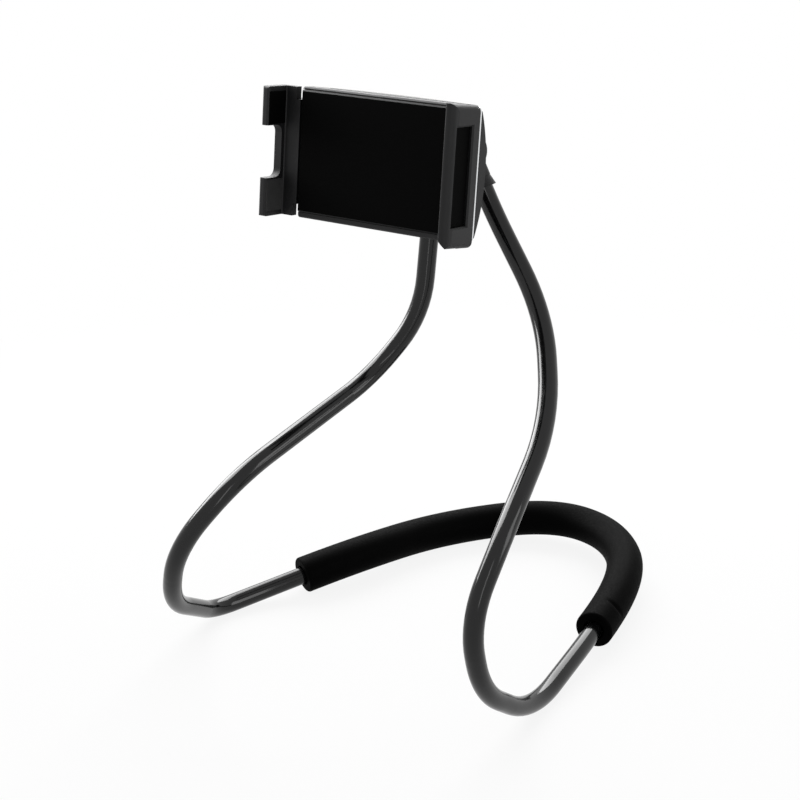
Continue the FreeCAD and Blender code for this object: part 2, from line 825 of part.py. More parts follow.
def make_sliding_jaw():
    inner, outer = finger_faces()
    front_y = face_y - finger_reach
    base_y0 = face_y + base_front
    base_y1 = base_y0 + base_thickness
    base_right = body_left - base_gap
    front, back = tongue_span()
    shoulder = shoulder_height / 2
    wall = box((outer, front_y, -half_jaw), (inner, base_y1, half_jaw))
    front_edges = [e for e in wall.Edges if abs(e.BoundBox.YMax - front_y) < 1e-6]
    wall = wall.makeFillet(finger_round, front_edges)
    base = box((outer, base_y0, -half_jaw), (base_right, base_y1, half_jaw))
    cove_x = inner + base_cove
    cove_y = base_y0 - base_cove
    cove = box((inner, cove_y, -half_jaw), (cove_x, base_y0, half_jaw))
    cove = cove.cut(bar(base_cove, Vector(cove_x, cove_y, -half_jaw), Vector(cove_x, cove_y, half_jaw)))
    block = box((outer + finger_round, base_y0, -shoulder), (base_right, back, shoulder))
    stem = box((base_right, front, -stem_height / 2), (body_left + stem_length, back, stem_height / 2))
    tail_end = body_mid + tongue_end
    tail = box((base_right, front, -tongue_height / 2), (tail_end, back, tongue_height / 2))
    jaw = joined(wall, base, cove, block, stem, tail)
    # the notch between the fingers, round at its foot
    half_notch = half_jaw - finger_height
    notch_y = face_y - notch_floor
    notch = box((outer - past, front_y - past, -half_notch), (inner + base_cove, notch_y, half_notch))
    foot = [e for e in notch.Edges
            if abs(e.BoundBox.YMin - notch_y) < 1e-6 and e.BoundBox.XLength > finger_thickness]
    jaw = jaw.cut(notch.makeFillet(notch_round, foot))
    for side in (-1, 1):
        z0, z1 = sorted((side * shoulder, side * (half_jaw + past)))
        jaw = jaw.cut(box((base_right - corner_notch, base_y0 - past, z0), (base_right + past, back, z1)))
        # recess for the rubber pad
        low, high = finger_pad_span()
        z0, z1 = sorted((side * low, side * high))
        jaw = jaw.cut(box((inner - finger_pad_thickness + finger_pad_proud, front_y + finger_pad_edge, z0),
                          (inner + base_cove, cove_y, z1)))
    # seats for the springs' hooks
    for tail_point, _ in spring_places():
        room = spring_radius + post_clearance
        low = (tail_end - room, front, tail_point.z - room)
        jaw = jaw.cut(box(low, (tail_end, back, tail_point.z + room)))
    export("sliding_jaw", seated(jaw.removeSplitter()))


def finger_pad_span():
    """The low and high end of a finger's pad, from the middle of the jaw."""
    return half_jaw - finger_height + finger_pad_edge, half_jaw - finger_pad_margin


def make_finger_pads():
    inner, _ = finger_faces()
    low, high = finger_pad_span()
    gap = finger_pad_clearance
    cove_y = face_y + base_front - base_cove
    front_y = face_y - finger_reach
    for name, side in (("upper_jaw_pad", 1), ("lower_jaw_pad", -1)):
        z0, z1 = sorted((side * (low + gap), side * (high - gap)))
        pad = box((inner - finger_pad_thickness + finger_pad_proud, front_y + finger_pad_edge + gap, z0),
                  (inner + finger_pad_proud, cove_y - gap, z1))
        export(name, seated(pad))


def make_jaw_springs():
    springs = []
    for tail, post in spring_places():
        start = tail - X_AXIS * (spring_radius - post_clearance)
        end = post + X_AXIS * (post_radius + post_clearance + spring_radius - spring_bore)
        body_end = post - X_AXIS * (post_radius + post_clearance)
        coil = bar(spring_radius, start, body_end).cut(bar(spring_bore, start, body_end))
        # the end loop round the housing's post
        half_wire = spring_bore / 2
        loop = along_y(end.x - post.x, post.x, post.z, post.y - half_wire, post.y + half_wire)
        eye_radius = post_radius + post_clearance
        eye = along_y(eye_radius, post.x, post.z, post.y - spring_bore, post.y + spring_bore)
        springs.append(joined(coil, loop.cut(eye)))
    export("jaw_springs", seated(Part.makeCompound(springs)))


# Charging parts

def make_charging_parts():
    coil_y0 = face_y + plate_back
    coil_y1 = coil_y0 + coil_thickness
    coil = along_y(coil_radius, body_mid, 0, coil_y0, coil_y1)
    coil = coil.cut(along_y(coil_bore, body_mid, 0, coil_y0, coil_y1))
    export("charging_coil", seated(coil))
    ferrite = along_y(ferrite_radius, body_mid, 0, coil_y1, coil_y1 + ferrite_thickness)
    export("ferrite_sheet", seated(ferrite))
    low, high = usb_room()
    left = body_mid + usb_x - board_width / 2
    bottom, top = board_span()
    board = box((left, high[1], bottom), (left + board_width, high[1] + board_thickness, top))
    export("circuit_board", seated(board))
    shell = box(low, high)
    room = box((low[0] + usb_wall, low[1] + usb_wall, low[2] - past),
               (high[0] - usb_wall, high[1] - usb_wall, high[2] - usb_wall))
    middle = (low[1] + high[1]) / 2
    contact = box((low[0] + 2 * usb_wall + usb_tongue, middle - usb_tongue / 2, low[2] + usb_wall),
                  (high[0] - 2 * usb_wall - usb_tongue, middle + usb_tongue / 2, high[2]))
    export("usb_socket", seated(joined(shell.cut(room), contact)))


make_rod()
flange_pocket = make_hub()
make_ball_stud(flange_pocket)
make_lock_nut()
make_rear_housing()
make_seam_trim()
make_housing_screws()
make_front_frame()
make_face()
make_fixed_jaw_pad()
make_sliding_jaw()
make_finger_pads()
make_jaw_springs()
make_charging_parts()
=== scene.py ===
import math

import bmesh
import bpy
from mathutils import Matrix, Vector


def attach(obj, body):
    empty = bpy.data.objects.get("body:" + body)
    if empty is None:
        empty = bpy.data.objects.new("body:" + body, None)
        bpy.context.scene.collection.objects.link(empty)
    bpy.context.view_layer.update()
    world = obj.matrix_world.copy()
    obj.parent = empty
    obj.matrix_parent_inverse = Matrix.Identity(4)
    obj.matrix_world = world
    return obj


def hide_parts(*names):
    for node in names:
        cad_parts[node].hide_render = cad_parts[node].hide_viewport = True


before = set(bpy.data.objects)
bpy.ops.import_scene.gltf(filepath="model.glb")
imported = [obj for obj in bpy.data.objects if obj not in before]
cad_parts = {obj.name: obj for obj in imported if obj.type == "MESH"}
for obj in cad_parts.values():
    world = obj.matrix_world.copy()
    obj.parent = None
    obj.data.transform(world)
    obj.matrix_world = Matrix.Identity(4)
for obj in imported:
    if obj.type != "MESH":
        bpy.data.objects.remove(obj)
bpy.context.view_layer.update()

scene = bpy.context.scene

MM = 0.001

# A Mix node has several sockets of one name, so its colour sockets go by number
MIX_DARK = 6
MIX_PALE = 7
MIX_COLOUR = 2


# Small helpers for colours, nodes and materials

def linear(hex_colour):
    """An sRGB hex colour as linear values with full alpha."""
    channels = [int(hex_colour[i:i + 2], 16) / 255 for i in (1, 3, 5)]
    spread = [c / 12.92 if c <= 0.04045 else ((c + 0.055) / 1.055) ** 2.4 for c in channels]
    return (*spread, 1.0)


def add(tree, kind, settings=None, inputs=None):
    """Add a node, set its properties, and set or link its inputs."""
    node = tree.nodes.new(kind)
    for name, value in (settings or {}).items():
        setattr(node, name, value)
    for name, value in (inputs or {}).items():
        socket = node.inputs[name]
        if isinstance(value, bpy.types.NodeSocket):
            tree.links.new(value, socket)
        else:
            socket.default_value = value
    return node


def per_mm(size_mm):
    """A texture scale that repeats about once in a size given in millimetres."""
    return 1.0 / (size_mm * MM)


def new_material(name):
    """An empty material, its node tree, and the place on the object that its patterns follow."""
    material = bpy.data.materials.new(name)
    material.use_nodes = True
    tree = material.node_tree
    tree.nodes.clear()
    place = add(tree, "ShaderNodeTexCoord").outputs["Object"]
    return material, tree, place


def give_surface(material, surface):
    """Join a shader to its material's output."""
    add(material.node_tree, "ShaderNodeOutputMaterial", None, {"Surface": surface})


# Materials, one for each finish on the holder, with pattern sizes and depths in millimetres

def moulded_abs():
    """ABS moulded in a spark-eroded tool: near black and satin, with a fine even grain."""
    material, tree, place = new_material("moulded_abs")
    # the real grain is about 0.1 mm, and is drawn coarser so that it shows
    grain_size = 0.4
    grain_depth = 0.05
    patch_size = 14.0
    grain = add(tree, "ShaderNodeTexNoise", None,
                {"Vector": place, "Scale": per_mm(grain_size), "Detail": 3.0,
                 "Roughness": 0.6}).outputs["Fac"]
    patches = add(tree, "ShaderNodeTexNoise", None,
                  {"Vector": place, "Scale": per_mm(patch_size), "Detail": 4.0}).outputs["Fac"]
    tone = add(tree, "ShaderNodeMix", {"data_type": "RGBA"},
               {"Factor": patches, MIX_DARK: linear("#0e0e0f"),
                MIX_PALE: linear("#141415")}).outputs[MIX_COLOUR]
    gloss = add(tree, "ShaderNodeMapRange", None,
                {"Value": patches, "From Min": 0.3, "From Max": 0.7,
                 "To Min": 0.48, "To Max": 0.56}).outputs["Result"]
    relief = add(tree, "ShaderNodeBump", None,
                 {"Height": grain, "Strength": 0.18,
                  "Distance": grain_depth * MM}).outputs["Normal"]
    shader = add(tree, "ShaderNodeBsdfPrincipled", None,
                 {"Base Color": tone, "Roughness": gloss, "Normal": relief, "IOR": 1.53,
                  "Specular IOR Level": 0.22})
    give_surface(material, shader.outputs["BSDF"])
    return material


def polished_bezel():
    """The same ABS from a polished tool: smoother and darker, with only a faint waviness."""
    material, tree, place = new_material("polished_bezel")
    wave_size = 9.0
    wave_depth = 0.1
    wave = add(tree, "ShaderNodeTexNoise", None,
               {"Vector": place, "Scale": per_mm(wave_size), "Detail": 2.0}).outputs["Fac"]
    tone = add(tree, "ShaderNodeMix", {"data_type": "RGBA"},
               {"Factor": wave, MIX_DARK: linear("#0c0c0d"),
                MIX_PALE: linear("#111112")}).outputs[MIX_COLOUR]
    gloss = add(tree, "ShaderNodeMapRange", None,
                {"Value": wave, "To Min": 0.40, "To Max": 0.48}).outputs["Result"]
    relief = add(tree, "ShaderNodeBump", None,
                 {"Height": wave, "Strength": 0.05, "Distance": wave_depth * MM}).outputs["Normal"]
    shader = add(tree, "ShaderNodeBsdfPrincipled", None,
                 {"Base Color": tone, "Roughness": gloss, "Normal": relief, "IOR": 1.53,
                  "Specular IOR Level": 0.1})
    give_surface(material, shader.outputs["BSDF"])
    return material


def sheathed_rod():
    """Soft PVC drawn over the core wire: smooth and shiny, slightly uneven along its length."""
    material, tree, place = new_material("sheathed_rod")
    wave_size = 6.0
    wave_depth = 0.2
    fine_size = 0.7
    fine_depth = 0.04
    wave = add(tree, "ShaderNodeTexNoise", None,
               {"Vector": place, "Scale": per_mm(wave_size), "Detail": 3.0}).outputs["Fac"]
    fine = add(tree, "ShaderNodeTexNoise", None,
               {"Vector": place, "Scale": per_mm(fine_size), "Detail": 2.0}).outputs["Fac"]
    tone = add(tree, "ShaderNodeMix", {"data_type": "RGBA"},
               {"Factor": wave, MIX_DARK: linear("#090909"),
                MIX_PALE: linear("#0e0e0f")}).outputs[MIX_COLOUR]
    gloss = add(tree, "ShaderNodeMapRange", None,
                {"Value": wave, "From Min": 0.3, "From Max": 0.7,
                 "To Min": 0.10, "To Max": 0.16}).outputs["Result"]
    broad = add(tree, "ShaderNodeBump", None,
                {"Height": wave, "Strength": 0.05, "Distance": wave_depth * MM}).outputs["Normal"]
    relief = add(tree, "ShaderNodeBump", None,
                 {"Height": fine, "Strength": 0.03, "Distance": fine_depth * MM,
                  "Normal": broad}).outputs["Normal"]
    shader = add(tree, "ShaderNodeBsdfPrincipled", None,
                 {"Base Color": tone, "Roughness": gloss, "Normal": relief, "IOR": 1.54,
                  "Specular IOR Level": 0.28})
    give_surface(material, shader.outputs["BSDF"])
    return material


def closed_cell_foam():
    """Closed-cell rubber foam, extruded as a tube: dull black, with small round cells."""
    material, tree, place = new_material("closed_cell_foam")
    # the real cells are about 0.3 mm, and are drawn coarser so that they show
    cell_size = 0.9
    cell_depth = 0.10
    lump_size = 5.0
    lump_depth = 0.4
    cells = add(tree, "ShaderNodeTexVoronoi", {"feature": "SMOOTH_F1"},
                {"Vector": place, "Scale": per_mm(cell_size),
                 "Smoothness": 0.4}).outputs["Distance"]
    lump = add(tree, "ShaderNodeTexNoise", None,
               {"Vector": place, "Scale": per_mm(lump_size), "Detail": 4.0}).outputs["Fac"]
    tone = add(tree, "ShaderNodeMix", {"data_type": "RGBA"},
               {"Factor": lump, MIX_DARK: linear("#020202"),
                MIX_PALE: linear("#040404")}).outputs[MIX_COLOUR]
    gloss = add(tree, "ShaderNodeMapRange", None,
                {"Value": cells, "From Min": 0.1, "From Max": 0.6,
                 "To Min": 0.50, "To Max": 0.62}).outputs["Result"]
    broad = add(tree, "ShaderNodeBump", None,
                {"Height": lump, "Strength": 0.06, "Distance": lump_depth * MM}).outputs["Normal"]
    relief = add(tree, "ShaderNodeBump", None,
                 {"Height": cells, "Strength": 0.06, "Distance": cell_depth * MM,
                  "Normal": broad}).outputs["Normal"]
    shader = add(tree, "ShaderNodeBsdfPrincipled", None,
                 {"Base Color": tone, "Roughness": gloss, "Normal": relief, "IOR": 1.45,
                  "Specular IOR Level": 0.016})
    give_surface(material, shader.outputs["BSDF"])
    return material


def soft_silicone(name, dark, pale):
    """Moulded silicone rubber: matt and deep black, or a paler grey copy whose colour holds
    painted bounce light.
    """
    material, tree, place = new_material(name)
    # random patches of tone and gloss across the pad
    blotch_size = 7.0
    # the real grain is about 0.1 mm, and is drawn coarser so that it shows
    grain_size = 0.5
    grain_depth = 0.05
    blotches = add(tree, "ShaderNodeTexNoise", None,
                {"Vector": place, "Scale": per_mm(blotch_size), "Detail": 5.0}).outputs["Fac"]
    grain = add(tree, "ShaderNodeTexNoise", None,
                {"Vector": place, "Scale": per_mm(grain_size), "Detail": 2.0}).outputs["Fac"]
    tone = add(tree, "ShaderNodeMix", {"data_type": "RGBA"},
               {"Factor": blotches, MIX_DARK: linear(dark),
                MIX_PALE: linear(pale)}).outputs[MIX_COLOUR]
    gloss = add(tree, "ShaderNodeMapRange", None,
                {"Value": blotches, "To Min": 0.60, "To Max": 0.75}).outputs["Result"]
    relief = add(tree, "ShaderNodeBump", None,
                 {"Height": grain, "Strength": 0.15,
                  "Distance": grain_depth * MM}).outputs["Normal"]
    shader = add(tree, "ShaderNodeBsdfPrincipled", None,
                 {"Base Color": tone, "Roughness": gloss, "Normal": relief, "IOR": 1.41,
                  "Specular IOR Level": 0.03})
    give_surface(material, shader.outputs["BSDF"])
    return material


def plated_steel():
    """Zinc-plated steel, drawn or turned: grey, with fine marks that change its gloss."""
    material, tree, place = new_material("plated_steel")
    mark_size = 0.6
    marks = add(tree, "ShaderNodeTexNoise", None,
                {"Vector": place, "Scale": per_mm(mark_size), "Detail": 4.0}).outputs["Fac"]
    tone = add(tree, "ShaderNodeMix", {"data_type": "RGBA"},
               {"Factor": marks, MIX_DARK: linear("#8d8f92"),
                MIX_PALE: linear("#b4b6b8")}).outputs[MIX_COLOUR]
    gloss = add(tree, "ShaderNodeMapRange", None,
                {"Value": marks, "To Min": 0.22, "To Max": 0.42}).outputs["Result"]
    shader = add(tree, "ShaderNodeBsdfPrincipled", None,
                 {"Base Color": tone, "Roughness": gloss, "Metallic": 1.0})
    give_surface(material, shader.outputs["BSDF"])
    return material


def plated_trim():
    """Bright chrome plating on moulded plastic: mirror-like, with a faint haze in patches."""
    material, tree, place = new_material("plated_trim")
    haze_size = 5.0
    haze = add(tree, "ShaderNodeTexNoise", None,
               {"Vector": place, "Scale": per_mm(haze_size), "Detail": 3.0}).outputs["Fac"]
    tone = add(tree, "ShaderNodeMix", {"data_type": "RGBA"},
               {"Factor": haze, MIX_DARK: linear("#d2d3d5"),
                MIX_PALE: linear("#e6e7e8")}).outputs[MIX_COLOUR]
    gloss = add(tree, "ShaderNodeMapRange", None,
                {"Value": haze, "To Min": 0.12, "To Max": 0.24}).outputs["Result"]
    shader = add(tree, "ShaderNodeBsdfPrincipled", None,
                 {"Base Color": tone, "Roughness": gloss, "Metallic": 1.0})
    give_surface(material, shader.outputs["BSDF"])
    return material


def wound_copper():
    """Enamelled copper wire, wound flat: warm, with darker flecks between the turns."""
    material, tree, place = new_material("wound_copper")
    fleck_size = 0.8
    flecks = add(tree, "ShaderNodeTexNoise", None,
                 {"Vector": place, "Scale": per_mm(fleck_size), "Detail": 2.0}).outputs["Fac"]
    tone = add(tree, "ShaderNodeMix", {"data_type": "RGBA"},
               {"Factor": flecks, MIX_DARK: linear("#8a4a26"),
                MIX_PALE: linear("#c98252")}).outputs[MIX_COLOUR]
    shader = add(tree, "ShaderNodeBsdfPrincipled", None,
                 {"Base Color": tone, "Roughness": 0.35, "Metallic": 1.0})
    give_surface(material, shader.outputs["BSDF"])
    return material


def sintered_ferrite():
    """Ferrite, pressed and sintered as a sheet: dark grey and dull, with a fine speckle."""
    material, tree, place = new_material("sintered_ferrite")
    speckle_size = 0.5
    speckle = add(tree, "ShaderNodeTexNoise", None,
                  {"Vector": place, "Scale": per_mm(speckle_size), "Detail": 4.0}).outputs["Fac"]
    tone = add(tree, "ShaderNodeMix", {"data_type": "RGBA"},
               {"Factor": speckle, MIX_DARK: linear("#2a2a2c"),
                MIX_PALE: linear("#47474a")}).outputs[MIX_COLOUR]
    shader = add(tree, "ShaderNodeBsdfPrincipled", None, {"Base Color": tone, "Roughness": 0.6})
    give_surface(material, shader.outputs["BSDF"])
    return material


def masked_board():
    """Glass-fibre board under green solder mask: smooth, mottled by the weave below."""
    material, tree, place = new_material("masked_board")
    mottle_size = 0.9
    mottle = add(tree, "ShaderNodeTexNoise", None,
                 {"Vector": place, "Scale": per_mm(mottle_size), "Detail": 3.0}).outputs["Fac"]
    tone = add(tree, "ShaderNodeMix", {"data_type": "RGBA"},
               {"Factor": mottle, MIX_DARK: linear("#0d4a2a"),
                MIX_PALE: linear("#176b3e")}).outputs[MIX_COLOUR]
    shader = add(tree, "ShaderNodeBsdfPrincipled", None, {"Base Color": tone, "Roughness": 0.3})
    give_surface(material, shader.outputs["BSDF"])
    return material


# Neck pad: a foam sleeve that follows the rod round the loop, with its sizes in millimetres

ROD_RADIUS = 3.25
PAD_RADIUS = 6.9
# the skin stays just inside the solid, and the bore clears the rod where the spline leaves it
SKIN_INSET = 0.05
BORE_CLEARANCE = 0.6
END_ROUNDING = 0.8

# one crease from bending, near the right end
CREASE_PLACE = 10.4
CREASE_WIDTH = 0.9
CREASE_DEPTH = 0.62
CREASE_BOW = 1.0
CREASE_SIDE = math.radians(-45.0)
CREASE_REACH = math.radians(42.0)

# the points that pull the pad's middle line into shape, from its right end to its left one: the
# corners of the rod's route, moved a little so that the spline stays within 0.6 mm of the rod
PAD_POINTS = [
    (59.4, 10.82, 7.05), (54.95, 49.37, 10.14), (30.91, 82.14, 9.95), (-0.77, 87.6, 9.15),
    (-33.9, 57.21, 5.95), (-43.07, 6.63, 10.47), (-52.85, -11.28, 6.98),
]
SPLINE_STEPS = 24
SPLINE_ORDER = 3

# the sheet that becomes the sleeve: across it lie the first rim, the skin, the last rim, the bore
SHEET_START = -0.5
SKIN_START = -0.47
SKIN_END = 0.15
BORE_START = 0.18
SHEET_END = 0.5
SHEET_COLUMNS = 760
SHEET_ROWS = 65
SEAM_DISTANCE = 0.002


def route_curve():
    """The pad's middle line, one smooth spline."""
    curve = bpy.data.curves.new("pad_route", "CURVE")
    curve.dimensions = "3D"
    curve.resolution_u = SPLINE_STEPS
    spline = curve.splines.new("NURBS")
    spline.points.add(len(PAD_POINTS) - 1)
    for point, place in zip(spline.points, PAD_POINTS):
        point.co = (*(Vector(place) * MM), 1.0)
    spline.order_u = SPLINE_ORDER
    spline.use_endpoint_u = True
    return bpy.data.objects.new("pad_route", curve)


def sleeve_tree():
    """A closed sleeve swept along a curve, with rounded ends and one crease from bending."""
    tree = bpy.data.node_groups.new("foam_sleeve", "GeometryNodeTree")
    face = tree.interface
    face.new_socket("Route", in_out="INPUT", socket_type="NodeSocketGeometry")
    for name in ("Outer Radius", "Bore Radius", "End Rounding", "Crease Place", "Crease Width",
                 "Crease Depth", "Crease Bow", "Crease Side", "Crease Reach"):
        face.new_socket(name, in_out="INPUT", socket_type="NodeSocketFloat")
    face.new_socket("Foam", in_out="INPUT", socket_type="NodeSocketMaterial")
    face.new_socket("Sleeve", in_out="OUTPUT", socket_type="NodeSocketGeometry")
    given = add(tree, "NodeGroupInput").outputs

    # one sheet: its width runs out along the skin and back through the bore, its height goes round
    sheet = add(tree, "GeometryNodeMeshGrid", None,
                {"Size X": SHEET_END - SHEET_START, "Size Y": 2 * math.pi,
                 "Vertices X": SHEET_COLUMNS, "Vertices Y": SHEET_ROWS})
    flat = add(tree, "GeometryNodeInputPosition").outputs["Position"]
    place = add(tree, "ShaderNodeSeparateXYZ", None, {"Vector": flat}).outputs
    out = add(tree, "ShaderNodeMapRange", {"interpolation_type": "SMOOTHSTEP"},
              {"Value": place["X"], "From Min": SKIN_START,
               "From Max": SKIN_END}).outputs["Result"]
    back = add(tree, "ShaderNodeMapRange", {"interpolation_type": "SMOOTHSTEP"},
               {"Value": place["X"], "From Min": BORE_START,
                "From Max": SHEET_END}).outputs["Result"]
    share = add(tree, "ShaderNodeMath", {"operation": "SUBTRACT"},
                {0: out, 1: back}).outputs["Value"]
    length = add(tree, "GeometryNodeCurveLength", None,
                 {"Curve": given["Route"]}).outputs["Length"]
    along = add(tree, "ShaderNodeMath", {"operation": "MULTIPLY"},
                {0: share, 1: length}).outputs["Value"]

    # the surface climbs to the skin at the first rim and sinks to the bore at the last one
    rise = add(tree, "ShaderNodeMapRange", None,
               {"Value": place["X"], "From Min": SHEET_START,
                "From Max": SKIN_START}).outputs["Result"]
    sink = add(tree, "ShaderNodeMapRange", None,
               {"Value": place["X"], "From Min": SKIN_END,
                "From Max": BORE_START}).outputs["Result"]
    skin = add(tree, "ShaderNodeMath", {"operation": "SUBTRACT"},
               {0: rise, 1: sink}).outputs["Value"]

    # both rims are rounded over
    after = add(tree, "ShaderNodeMath", {"operation": "SUBTRACT"},
                {0: length, 1: along}).outputs["Value"]
    near = add(tree, "ShaderNodeMath", {"operation": "MINIMUM"},
               {0: along, 1: after}).outputs["Value"]
    rim = add(tree, "ShaderNodeMapRange", None,
              {"Value": near, "From Max": given["End Rounding"], "To Min": 1.0,
               "To Max": 0.0}).outputs["Result"]
    rim_squared = add(tree, "ShaderNodeMath", {"operation": "MULTIPLY"},
                      {0: rim, 1: rim}).outputs["Value"]
    level = add(tree, "ShaderNodeMath", {"operation": "SUBTRACT"},
                {0: 1.0, 1: rim_squared}).outputs["Value"]
    arc = add(tree, "ShaderNodeMath", {"operation": "SQRT"}, {0: level}).outputs["Value"]
    fallen = add(tree, "ShaderNodeMath", {"operation": "SUBTRACT"},
                 {0: 1.0, 1: arc}).outputs["Value"]
    drop = add(tree, "ShaderNodeMath", {"operation": "MULTIPLY"},
               {0: fallen, 1: given["End Rounding"]}).outputs["Value"]

    # the crease is a crescent, deepest on one side and swept along the sleeve towards its tips
    swing = add(tree, "ShaderNodeMath", {"operation": "SUBTRACT"},
                {0: place["Y"], 1: given["Crease Side"]}).outputs["Value"]
    facing = add(tree, "ShaderNodeMath", {"operation": "COSINE"}, {0: swing}).outputs["Value"]
    depth = add(tree, "ShaderNodeMapRange", None,
                {"Value": facing, "From Min": given["Crease Reach"], "To Min": 0.0,
                 "To Max": given["Crease Depth"]}).outputs["Result"]
    bow = add(tree, "ShaderNodeMapRange", None,
              {"Value": facing, "From Min": given["Crease Reach"], "To Min": given["Crease Bow"],
               "To Max": 0.0}).outputs["Result"]
    ahead = add(tree, "ShaderNodeMath", {"operation": "SUBTRACT"},
                {0: along, 1: given["Crease Place"]}).outputs["Value"]
    off = add(tree, "ShaderNodeMath", {"operation": "SUBTRACT"},
              {0: ahead, 1: bow}).outputs["Value"]
    off_share = add(tree, "ShaderNodeMath", {"operation": "DIVIDE"},
                    {0: off, 1: given["Crease Width"]}).outputs["Value"]
    off_squared = add(tree, "ShaderNodeMath", {"operation": "MULTIPLY"},
                      {0: off_share, 1: off_share}).outputs["Value"]
    fade = add(tree, "ShaderNodeMath", {"operation": "POWER"},
               {0: 1 / math.e, 1: off_squared}).outputs["Value"]
    dent = add(tree, "ShaderNodeMath", {"operation": "MULTIPLY"},
               {0: fade, 1: depth}).outputs["Value"]

    # the distance of each point from the route
    lost = add(tree, "ShaderNodeMath", {"operation": "ADD"}, {0: drop, 1: dent}).outputs["Value"]
    crown = add(tree, "ShaderNodeMath", {"operation": "SUBTRACT"},
                {0: given["Outer Radius"], 1: lost}).outputs["Value"]
    radius = add(tree, "ShaderNodeMapRange", None,
                 {"Value": skin, "To Min": given["Bore Radius"],
                  "To Max": crown}).outputs["Result"]

    # each point goes out from the route, square to it
    upwards = add(tree, "ShaderNodeMath", {"operation": "COSINE"},
                  {0: place["Y"]}).outputs["Value"]
    sideways = add(tree, "ShaderNodeMath", {"operation": "SINE"}, {0: place["Y"]}).outputs["Value"]
    spot = add(tree, "GeometryNodeSampleCurve", {"mode": "LENGTH"},
               {"Curves": given["Route"], "Length": along}).outputs
    side = add(tree, "ShaderNodeVectorMath", {"operation": "CROSS_PRODUCT"},
               {0: spot["Tangent"], 1: spot["Normal"]}).outputs["Vector"]
    up_part = add(tree, "ShaderNodeVectorMath", {"operation": "SCALE"},
                  {0: spot["Normal"], "Scale": upwards}).outputs["Vector"]
    out_way = add(tree, "ShaderNodeVectorMath", {"operation": "MULTIPLY_ADD"},
                  {0: side, 1: sideways, 2: up_part}).outputs["Vector"]
    final = add(tree, "ShaderNodeVectorMath", {"operation": "MULTIPLY_ADD"},
                {0: out_way, 1: radius, 2: spot["Position"]}).outputs["Vector"]
    moved = add(tree, "GeometryNodeSetPosition", None,
                {"Geometry": sheet.outputs["Mesh"], "Position": final})
    closed = add(tree, "GeometryNodeMergeByDistance", None,
                 {"Geometry": moved.outputs["Geometry"], "Distance": SEAM_DISTANCE * MM})
    smooth = add(tree, "GeometryNodeSetShadeSmooth", None,
                 {"Geometry": closed.outputs["Geometry"]})
    real = add(tree, "GeometryNodeRealizeInstances", None,
               {"Geometry": smooth.outputs["Geometry"]})
    painted = add(tree, "GeometryNodeSetMaterial", None,
                  {"Geometry": real.outputs["Geometry"], "Material": given["Foam"]})
    add(tree, "NodeGroupOutput", None, {"Sleeve": painted.outputs["Geometry"]})
    return tree


def made_mesh(name, source, tree, values):
    """Run a tree on an object and keep its result as a plain mesh object."""
    scene.collection.objects.link(source)
    modifier = source.modifiers.new("shape", "NODES")
    modifier.node_group = tree
    for item in tree.interface.items_tree:
        if item.in_out == "INPUT" and item.name in values:
            modifier[item.identifier] = values[item.name]
    bpy.context.view_layer.update()
    evaluated = source.evaluated_get(bpy.context.evaluated_depsgraph_get())
    mesh = bpy.data.meshes.new_from_object(evaluated)
    source.modifiers.remove(modifier)
    bpy.data.objects.remove(source)
    cleaner = bmesh.new()
    cleaner.from_mesh(mesh)
    bmesh.ops.recalc_face_normals(cleaner, faces=cleaner.faces)
    cleaner.to_mesh(mesh)
    cleaner.free()
    mesh.name = name
    piece = bpy.data.objects.new(name, mesh)
    scene.collection.objects.link(piece)
    return piece


def make_neck_sleeve(foam):
    """The foam sleeve, in place of the plain solid."""
    values = {
        "Outer Radius": (PAD_RADIUS - SKIN_INSET) * MM,
        "Bore Radius": (ROD_RADIUS + BORE_CLEARANCE) * MM,
        "End Rounding": END_ROUNDING * MM,
        "Crease Place": CREASE_PLACE * MM,
        "Crease Width": CREASE_WIDTH * MM,
        "Crease Depth": CREASE_DEPTH * MM,
        "Crease Bow": CREASE_BOW * MM,
        "Crease Side": CREASE_SIDE,
        "Crease Reach": math.cos(CREASE_REACH),
        "Foam": foam,
    }
    sleeve = made_mesh("neck_sleeve", route_curve(), sleeve_tree(), values)
    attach(sleeve, "stand")
    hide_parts("neck_pad")


# Finishes of the solids

def dress(finish, *names):
    """Give solids a finish."""
    for name in names:
        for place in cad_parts[name].material_slots:
            place.material = finish


dress(sheathed_rod(), "rod_jacket")
dress(moulded_abs(), "rear_housing", "front_frame", "sliding_jaw", "lock_nut", "hub_front",
      "hub_back", "arm_collars")
dress(polished_bezel(), "face_plate")
dress(soft_silicone("clean_silicone", "#020202", "#040404"), "face_pad", "fixed_jaw_pad",
      "upper_jaw_pad")
# the lower pad is the same black silicone, painted grey to stand in for light bounced onto it from
# below
dress(soft_silicone("bounce_lit_silicone", "#363636", "#404040"), "lower_jaw_pad")
dress(plated_steel(), "core_wire", "ball_stud", "jaw_springs", "housing_screws", "hub_screw",
      "usb_socket")
dress(plated_trim(), "seam_trim")
dress(wound_copper(), "charging_coil")
dress(sintered_ferrite(), "ferrite_sheet")
dress(masked_board(), "circuit_board")
make_neck_sleeve(closed_cell_foam())


# Floor, light and camera, with lengths in metres

FLOOR_REACH = 6.0
FLOOR_DROP = 0.1 * MM
# near the holder the floor takes a share of real light for the shadow, and far off it is white
SHADOW_NEAR = 0.16
SHADOW_FAR = 0.40
GLOW_NEAR = 0.88
GLOW_FAR = 1.0

# the surround's strength as a light, and as the camera and reflections see it
WORLD_LIGHT = 0.5
WORLD_SEEN = 1.0

LAMP_TARGET = (0.0, -0.02, 0.09)
